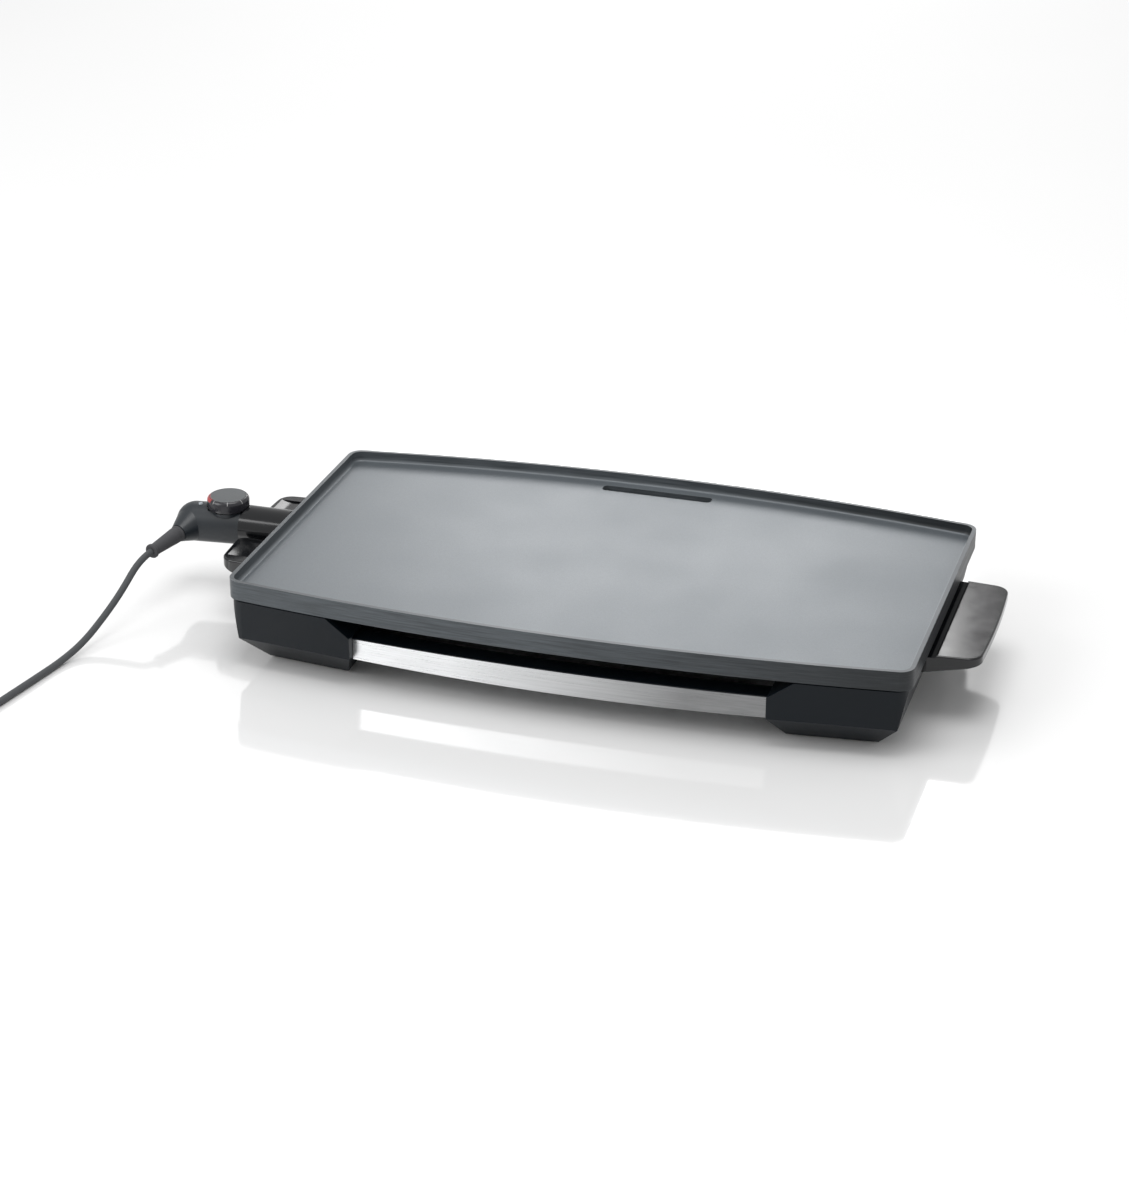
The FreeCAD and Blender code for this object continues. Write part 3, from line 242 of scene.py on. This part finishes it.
def brushed_strip(settings):
    """Stainless strip, brushed along its length, with painted shade toward +X that stands in for its darker
    reflection.
    """
    material, tree, shader = shader_of("trim_steel")
    lines = noise(tree, 900, 5, (0.012, 0.4, 1), 0.7)
    broad = noise(tree, 20, 2, (0.25, 1, 1.5))
    colour = settings.steel
    hue = blend_colours(tree, spread(tree, lines, 0, 1), tinted(colour, 0.86), tinted(colour, 1.08))
    along = node(tree, "SeparateXYZ", {"Vector": node(tree, "TexCoord").outputs["Object"]}).outputs["X"]
    # Painted shade: a darker copy of the steel is blended in toward +X, standing in for the strip's darker
    # reflection on the right.
    darker = blend_colours(tree, spread(tree, lines, 0, 1), tinted(colour, 0.24), tinted(colour, 0.34))
    tree.links.new(blend_colours(tree, spread(tree, along, 0, 1, -0.09, 0.11), hue, darker),
                   shader.inputs["Base Color"])
    shader.inputs["Metallic"].default_value = 1
    gloss = node(tree, "Math", {0: spread(tree, lines, 0.24, 0.36), 1: spread(tree, broad, -0.03, 0.03)},
                 operation="ADD")
    tree.links.new(gloss.outputs[0], shader.inputs["Roughness"])
    relief(tree, shader, lines, 0.25, 0.00003)
    return material


def lens_finish():
    """Clear pale lamp lens with a ribbed inner face."""
    material, tree, shader = shader_of("lamp_lens")
    ribs = noise(tree, 1600, 1, (1, 0.1, 0.1))
    hue = blend_colours(tree, spread(tree, ribs, 0, 1), (0.5, 0.56, 0.62), (0.78, 0.84, 0.9))
    tree.links.new(hue, shader.inputs["Base Color"])
    shader.inputs["Transmission Weight"].default_value = 0.55
    tree.links.new(spread(tree, ribs, 0.08, 0.2), shader.inputs["Roughness"])
    relief(tree, shader, ribs, 0.2, 0.0001)
    return material


def print_finish(name, dark, light, rough):
    """Printed ink with a faint fleck."""
    material, tree, shader = shader_of(name)
    fleck = noise(tree, 2500, 2)
    tree.links.new(blend_colours(tree, spread(tree, fleck, 0, 1), dark, light), shader.inputs["Base Color"])
    tree.links.new(spread(tree, fleck, rough, rough + 0.1), shader.inputs["Roughness"])
    return material


def finishes(settings):
    """One material for each slot of the record."""
    steel = (0.62, 0.62, 0.63)
    gloss = settings.gloss
    return {
        "plate_coating": plate_coating(settings),
        "trim_steel": brushed_strip(settings),
        "lamp_lens": lens_finish(),
        "base_plastic": plain_finish("base_plastic", settings.moulding, 0.4, grain=1400, strength=0.25,
                                     shine=0.2),
        "shell_matte": plain_finish("shell_matte", settings.shell, 0.36, grain=1700, strength=0.28),
        "handle_gloss": plain_finish("handle_gloss", gloss, 0.13, grain=60, depth=0.00002, strength=0.08),
        "sleeve_gloss": plain_finish("sleeve_gloss", gloss, 0.14, grain=70, depth=0.00002, strength=0.06),
        "knob_gloss": plain_finish("knob_gloss", gloss, 0.09, grain=80, depth=0.00001, strength=0.05),
        "knob_satin": plain_finish("knob_satin", (0.05, 0.056, 0.06), 0.42, grain=2200, strength=0.2),
        "cord_pvc": plain_finish("cord_pvc", (0.010, 0.011, 0.013), 0.42, grain=1200, strength=0.2),
        "relief_rubber": plain_finish("relief_rubber", (0.010, 0.011, 0.013), 0.43, grain=1300, strength=0.3),
        "plug_pvc": plain_finish("plug_pvc", (0.010, 0.011, 0.013), 0.4, grain=1100, strength=0.3),
        "foot_rubber": plain_finish("foot_rubber", (0.02, 0.02, 0.021), 0.75, grain=1500, strength=0.5),
        "element_steel": plain_finish("element_steel", (0.2, 0.17, 0.15), 0.5, 0.9, 0.3, 400),
        "pin_steel": plain_finish("pin_steel", steel, 0.2, 1, 0.06, 700, stretch=(0.1, 1, 1)),
        "screw_steel": plain_finish("screw_steel", steel, 0.3, 1, 0.1, 900),
        "shield_sheet": plain_finish("shield_sheet", (0.55, 0.56, 0.57), 0.42, 1, 0.08, 500,
                                     stretch=(0.08, 1, 1)),
        "guide_steel": plain_finish("guide_steel", steel, 0.36, 1, 0.08, 600, stretch=(0.1, 1, 1)),
        "tray_metal": plain_finish("tray_metal", (0.5, 0.51, 0.52), 0.36, 1, 0.08, 500, stretch=(0.1, 1, 1)),
        "earth_brass": plain_finish("earth_brass", (0.66, 0.5, 0.24), 0.3, 1, 0.15, 700),
        "ceramic": plain_finish("ceramic", (0.78, 0.75, 0.69), 0.35, grain=1200),
        "phenolic": plain_finish("phenolic", (0.06, 0.035, 0.025), 0.45, vary=0.25, grain=1100),
        "switch_body": plain_finish("switch_body", (0.6, 0.57, 0.5), 0.5, grain=900),
    }


def finish_of(slot):
    return bpy.data.materials[slot]


# ------------------------------------------------------------------ modelling helpers

def piece_from(work, name, body, slot, bevel=0.0, material=None):
    """Turns a bmesh into a finished piece that rides on a body."""
    bmesh.ops.remove_doubles(work, verts=work.verts, dist=1e-6)
    bmesh.ops.recalc_face_normals(work, faces=work.faces)
    mesh = bpy.data.meshes.new(name)
    work.to_mesh(mesh)
    work.free()
    mesh.shade_smooth()
    made = bpy.data.objects.new(name, mesh)
    bpy.context.collection.objects.link(made)
    if bevel:
        soft = made.modifiers.new("soft edges", "BEVEL")
        soft.width = bevel
        soft.segments = 3
        soft.limit_method = "ANGLE"
        soft.angle_limit = math.radians(30)
        soft.harden_normals = True
    mesh.materials.append(material or finish_of(slot))
    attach(made, body)
    return made


def spin_profile(work, profile, start, axis, steps=72, turn=math.tau, begin=0.0):
    """Spins (radius, height) points in an empty bmesh about an axis through start."""
    corners = [work.verts.new((radius, 0, height)) for radius, height in profile]
    sides = [work.edges.new(pair) for pair in zip(corners, corners[1:])]
    bmesh.ops.rotate(work, verts=corners, cent=(0, 0, 0), matrix=Matrix.Rotation(begin, 3, "Z"))
    whole = turn >= math.tau
    bmesh.ops.spin(work, geom=corners + sides, cent=(0, 0, 0), axis=UP, angle=turn, steps=steps,
                   use_merge=whole, use_duplicate=False)
    tilt = UP.rotation_difference(Vector(axis)).to_matrix()
    bmesh.ops.rotate(work, verts=work.verts, cent=(0, 0, 0), matrix=tilt)
    bmesh.ops.translate(work, verts=work.verts, vec=Vector(start))


def node_centre(name):
    low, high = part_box(name)
    return (Vector(low) + Vector(high)) / 2


# ------------------------------------------------------------------ where things are

RELIEF_END = Vector((-0.39610, -0.06638, 0.05372))
RELIEF_HEADING = Vector((-0.25783, -0.96225, -0.08716)).normalized()
RELIEF_LENGTH = 0.038
FLOOR_LAY = 0.003
COIL_CENTRE = Vector((-0.500, -0.326, 0))
COIL_START = math.radians(-25)
COIL_LEAVE = math.radians(-90)
PLUG_START = Vector((-0.560, -0.3704, 0.0187))
PLUG_HEADING = Vector((-1, 0, 0))

# the cord's route from the strain relief down to the tabletop
CORD_POINTS = [
    (-0.39610, -0.06638, 0.05372), (-0.40023, -0.08178, 0.05233), (-0.4045, -0.112, 0.0345),
    (-0.411, -0.138, 0.020), (-0.418, -0.164, 0.008), (-0.425, -0.192, FLOOR_LAY),
    (-0.431, -0.225, FLOOR_LAY), (-0.438, -0.262, FLOOR_LAY), (-0.446, -0.303, FLOOR_LAY),
]
TAIL_POINTS = [(-0.520, -0.3704, 0.0101), (-0.541, -0.3704, 0.015), (-0.560, -0.3704, 0.0187)]


def coil_points(settings):
    """Inward turns on the floor, a quarter turn up, then outward turns on top of them."""
    climb = 0.25
    whole = 2 * settings.turns + (COIL_START - COIL_LEAVE) / math.tau
    inner = settings.coil_radius - settings.turns * settings.coil_pitch
    count = round(whole * settings.turn_points)
    places = []
    for step in range(count + 1):
        turned = whole * step / count
        if turned < settings.turns:
            radius = settings.coil_radius - turned * settings.coil_pitch
            height = FLOOR_LAY
        elif turned < settings.turns + climb:
            radius = inner
            height = FLOOR_LAY + settings.coil_layer * (turned - settings.turns) / climb
        else:
            radius = inner + (turned - settings.turns - climb) * settings.coil_pitch
            height = FLOOR_LAY + settings.coil_layer
        angle = COIL_START - math.tau * turned
        places.append(COIL_CENTRE + Vector((radius * math.cos(angle), radius * math.sin(angle), height)))
    return places


# each soft light: its place and the length of its side
LIGHTS = {
    "key": ((-2.3, -1.7, 1.9), 1.8),
    "rear": ((-0.76, 3.0, 1.55), 1.2),
    "top": ((0.1, -0.2, 2.6), 1.6),
}

# where the knob's prints begin, anticlockwise from +X, and how far they turn
HOT_START, HOT_TURN = math.radians(182), math.radians(52)
FIRST_TICK, TICK_TURN = math.radians(246), math.radians(1.8)


# ------------------------------------------------------------------ operators

class GRIDDLE_OT_stage(bpy.types.Operator):
    """Lay the floor, hang the soft lights and set up the camera."""

    bl_idname = "griddle.stage"
    bl_label = "Stage"

    def execute(self, context):
        settings = context.scene.griddle_stage
        work = bmesh.new()
        bmesh.ops.create_grid(work, x_segments=1, y_segments=1, size=settings.floor_size / 2)
        mesh = bpy.data.meshes.new("floor")
        work.to_mesh(mesh)
        work.free()
        floor = bpy.data.objects.new("floor", mesh)
        context.collection.objects.link(floor)
        material, tree, shader = shader_of("floor_gloss")
        shade = noise(tree, 2, 2)
        colour = settings.floor_colour
        hue = blend_colours(tree, spread(tree, shade, 0, 1), tinted(colour, 0.99), colour)
        tree.links.new(hue, shader.inputs["Base Color"])
        shader.inputs["Roughness"].default_value = 0.08
        shader.inputs["IOR"].default_value = 3.2
        mesh.materials.append(material)

        world = bpy.data.worlds.new("white_room")
        world.use_nodes = True
        world.node_tree.nodes["Background"].inputs["Color"].default_value = (1, 1, 1, 1)
        world.node_tree.nodes["Background"].inputs["Strength"].default_value = settings.sky
        context.scene.world = world
        context.scene.view_settings.view_transform = "Standard"

        for name, (place, size) in LIGHTS.items():
            self.light(context, name, place, size, getattr(settings, name + "_power"))

        camera = bpy.data.objects.new("camera", bpy.data.cameras.new("camera"))
        context.collection.objects.link(camera)
        camera.data.lens = settings.lens
        camera.data.sensor_width = 36
        camera.location = settings.camera_place
        camera.rotation_euler = Vector(settings.camera_heading).to_track_quat("-Z", "Y").to_euler()
        context.scene.camera = camera
        return {"FINISHED"}

    def light(self, context, name, place, size, power):
        lamp = bpy.data.lights.new(name, "AREA")
        lamp.size = size
        lamp.energy = power
        made = bpy.data.objects.new(name, lamp)
        made.location = place
        made.rotation_euler = (-Vector(place)).to_track_quat("-Z", "Y").to_euler()
        context.collection.objects.link(made)


class GRIDDLE_OT_finishes(bpy.types.Operator):
    """Give every CAD part its finish."""

    bl_idname = "griddle.finishes"
    bl_label = "Finishes"

    def execute(self, context):
        made = finishes(context.scene.griddle_finish)
        for entry in frame["record"]["subparts"]:
            part = frame["nodes"][entry["node"]]
            part.data.materials.clear()
            part.data.materials.append(made[entry["material_slot"]])
        return {"FINISHED"}


class GRIDDLE_OT_cord(bpy.types.Operator):
    """Run the mains cord from the strain relief to its coil and the plug."""

    bl_idname = "griddle.cord"
    bl_label = "Cord"

    def execute(self, context):
        settings = context.scene.griddle_cord
        places = [Vector(point) for point in CORD_POINTS + coil_points(settings) + TAIL_POINTS]
        curve = bpy.data.curves.new("mains_cord", "CURVE")
        curve.dimensions = "3D"
        curve.bevel_depth = settings.diameter / 2
        curve.bevel_resolution = 6
        curve.resolution_u = 6
        curve.use_fill_caps = True
        spline = curve.splines.new("NURBS")
        spline.points.add(len(places) - 1)
        for point, place in zip(spline.points, places):
            point.co = (*place, 1)
        spline.order_u = 3
        spline.use_endpoint_u = True
        curve.materials.append(finish_of("cord_pvc"))
        cord = bpy.data.objects.new("mains_cord", curve)
        context.collection.objects.link(cord)
        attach(cord, "connector")
        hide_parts("cord_tube", "cord_coil", "cord_tail")
        plug = self.plug()
        tie = self.tie(settings)
        return {"FINISHED"}

    def plug(self):
        """Moulded mains plug: ribbed neck, waisted grip and a broad face."""
        length = 0.042
        ribs = 5
        profile = [(0, 0), (0.0052, 0)]
        for rib in range(ribs):
            foot = 0.001 + rib * 0.0026
            reach = 0.0058 + rib * 0.0005
            profile += [(reach, foot), (reach, foot + 0.0015), (reach - 0.0009, foot + 0.0018),
                        (reach - 0.0007, foot + 0.0024)]
        profile += [(0.0092, 0.0145), (0.0125, 0.0185), (0.0148, 0.0235), (0.0152, 0.029), (0.0158, 0.0335),
                    (0.0183, 0.0352), (0.0183, length - 0.0008), (0.0175, length), (0, length)]
        work = bmesh.new()
        spin_profile(work, profile, PLUG_START, PLUG_HEADING)
        made = piece_from(work, "mains_plug", "connector", "plug_pvc", 0.0004)
        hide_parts("plug_body")
        return made

    def tie(self, settings):
        """A soft tie round the put-away coil."""
        width, gauge, corner, slack = 0.009, 0.0009, 0.003, 0.0004
        inner = settings.coil_radius - settings.turns * settings.coil_pitch - settings.diameter / 2
        outer = settings.coil_radius + settings.diameter / 2
        height = settings.coil_layer + settings.diameter
        work = bmesh.new()
        bmesh.ops.create_cube(work, size=1)
        bmesh.ops.scale(work, verts=work.verts, vec=(outer - inner + slack, width, height - slack))
        middle = COIL_CENTRE + Vector((-(inner + outer) / 2, 0, height / 2))
        bmesh.ops.translate(work, verts=work.verts, vec=middle)
        ends = [face for face in work.faces if abs(face.normal.y) > 0.9]
        bmesh.ops.delete(work, geom=ends, context="FACES_ONLY")
        lengthwise = [edge for edge in work.edges if not edge.is_boundary]
        bmesh.ops.bevel(work, geom=lengthwise, offset=corner, segments=5, profile=0.5, affect="EDGES",
                        material=-1)
        bmesh.ops.solidify(work, geom=work.faces, thickness=gauge)
        return piece_from(work, "cord_tie", "connector", "relief_rubber", 0.0002)


class GRIDDLE_OT_strain_relief(bpy.types.Operator):
    """Turn the tapered strain relief with its end ring."""

    bl_idname = "griddle.strain_relief"
    bl_label = "Strain relief"

    def execute(self, context):
        start = RELIEF_END - RELIEF_HEADING * RELIEF_LENGTH
        profile = [(0, -0.004), (0.0055, -0.004), (0.0055, 0), (0.0071, 0), (0.0074, 0.0006), (0.0074, 0.002),
                   (0.0068, 0.0026), (0.0067, 0.0034), (0.0071, 0.0042)]
        steps = 8
        for step in range(steps + 1):
            share = step / steps
            profile.append((0.0071 - 0.0018 * share ** 0.9, 0.006 + 0.0280 * share))
        profile += [(0.0053, 0.0345), (0.0063, 0.0351), (0.0065, 0.0359), (0.0065, 0.0371), (0.0061, 0.0379),
                    (0.0050, 0.038), (0.0033, 0.0376), (0, 0.0376)]
        work = bmesh.new()
        spin_profile(work, profile, start, RELIEF_HEADING)
        made = piece_from(work, "cord_relief", "connector", "relief_rubber")
        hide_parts("strain_relief")
        return {"FINISHED"}


class GRIDDLE_OT_knob(bpy.types.Operator):
    """Turn the temperature knob and print its marks."""

    bl_idname = "griddle.knob"
    bl_label = "Temperature knob"

    def execute(self, context):
        settings = context.scene.griddle_knob
        low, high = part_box("temperature_knob")
        centre = node_centre("temperature_knob")
        reach = (high[0] - low[0]) / 2
        height = high[2] - low[2]
        start = Vector((centre.x, centre.y, low[2]))
        cap_reach = (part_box("knob_cap")[1][0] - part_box("knob_cap")[0][0]) / 2
        profile = [(0.0031, 0), (reach - 0.0022, 0), (reach - 0.0007, 0.0005), (reach - 0.0001, 0.0015),
                   (reach, 0.003), (reach, height - 0.0036), (reach - 0.0002, height - 0.0026),
                   (reach - 0.0009, height - 0.0012), (reach - 0.0019, height - 0.0003),
                   (cap_reach + 0.0004, height), (cap_reach, height - 0.0003), (cap_reach, height - 0.0008),
                   (0.0031, height - 0.0008), (0.0031, 0)]
        work = bmesh.new()
        spin_profile(work, profile, start, UP, 96)
        made = piece_from(work, "knob_body", "knob", "knob_gloss")
        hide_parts("temperature_knob")

        red = print_finish("knob_red", tinted(settings.red, 0.85), tinted(settings.red, 1.1), 0.3)
        pale = print_finish("knob_white", (0.3, 0.3, 0.3), (0.4, 0.4, 0.39), 0.35)
        self.mark("knob_hot_mark", start, reach, height, HOT_START, HOT_TURN, red)
        for index in range(settings.ticks):
            begin = FIRST_TICK + settings.tick_span * index / (settings.ticks - 1)
            self.mark(f"knob_tick_{index + 1}", start, reach, height, begin, TICK_TURN, pale)
        return {"FINISHED"}

    def mark(self, name, start, reach, height, begin, turn, material):
        """A thin print that follows the knob's rounded shoulder."""
        lift = 0.00006
        profile = [(reach - 0.0031, height + lift - 0.00003), (reach - 0.0019, height - 0.0003 + lift),
                   (reach - 0.0009 + lift, height - 0.0012 + lift), (reach - 0.0002 + lift, height - 0.0026)]
        work = bmesh.new()
        spin_profile(work, profile, start, UP, 12, turn, begin)
        return piece_from(work, name, "knob", "knob_satin", material=material)


class GRIDDLE_PT_panel(bpy.types.Panel):
    """Lists the griddle's operators and settings."""

    bl_idname = "GRIDDLE_PT_panel"
    bl_label = "Electric Griddle"
    bl_space_type = "VIEW_3D"
    bl_region_type = "UI"
    bl_category = "Griddle"

    def draw(self, context):
        layout = self.layout
        for step in STEPS:
            layout.operator(step.bl_idname)
        for group in (context.scene.griddle_stage, context.scene.griddle_finish, context.scene.griddle_cord,
                      context.scene.griddle_knob):
            box = layout.box()
            for name in group.__annotations__:
                box.prop(group, name)


STEPS = (GRIDDLE_OT_stage, GRIDDLE_OT_finishes, GRIDDLE_OT_cord, GRIDDLE_OT_strain_relief, GRIDDLE_OT_knob)
SETTINGS = {
    "griddle_stage": GriddleStageSettings,
    "griddle_finish": GriddleFinishSettings,
    "griddle_cord": GriddleCordSettings,
    "griddle_knob": GriddleKnobSettings,
}


def register():
    for group in SETTINGS.values():
        bpy.utils.register_class(group)
    for step in STEPS:
        bpy.utils.register_class(step)
    bpy.utils.register_class(GRIDDLE_PT_panel)
    for name, group in SETTINGS.items():
        setattr(bpy.types.Scene, name, PointerProperty(type=group))


def unregister():
    for name in SETTINGS:
        delattr(bpy.types.Scene, name)
    bpy.utils.unregister_class(GRIDDLE_PT_panel)
    for step in reversed(STEPS):
        bpy.utils.unregister_class(step)
    for group in SETTINGS.values():
        bpy.utils.unregister_class(group)


def main():
    register()
    bpy.ops.griddle.stage()
    bpy.ops.griddle.finishes()
    bpy.ops.griddle.cord()
    bpy.ops.griddle.strain_relief()
    bpy.ops.griddle.knob()


if __name__ == "__main__":
    main()
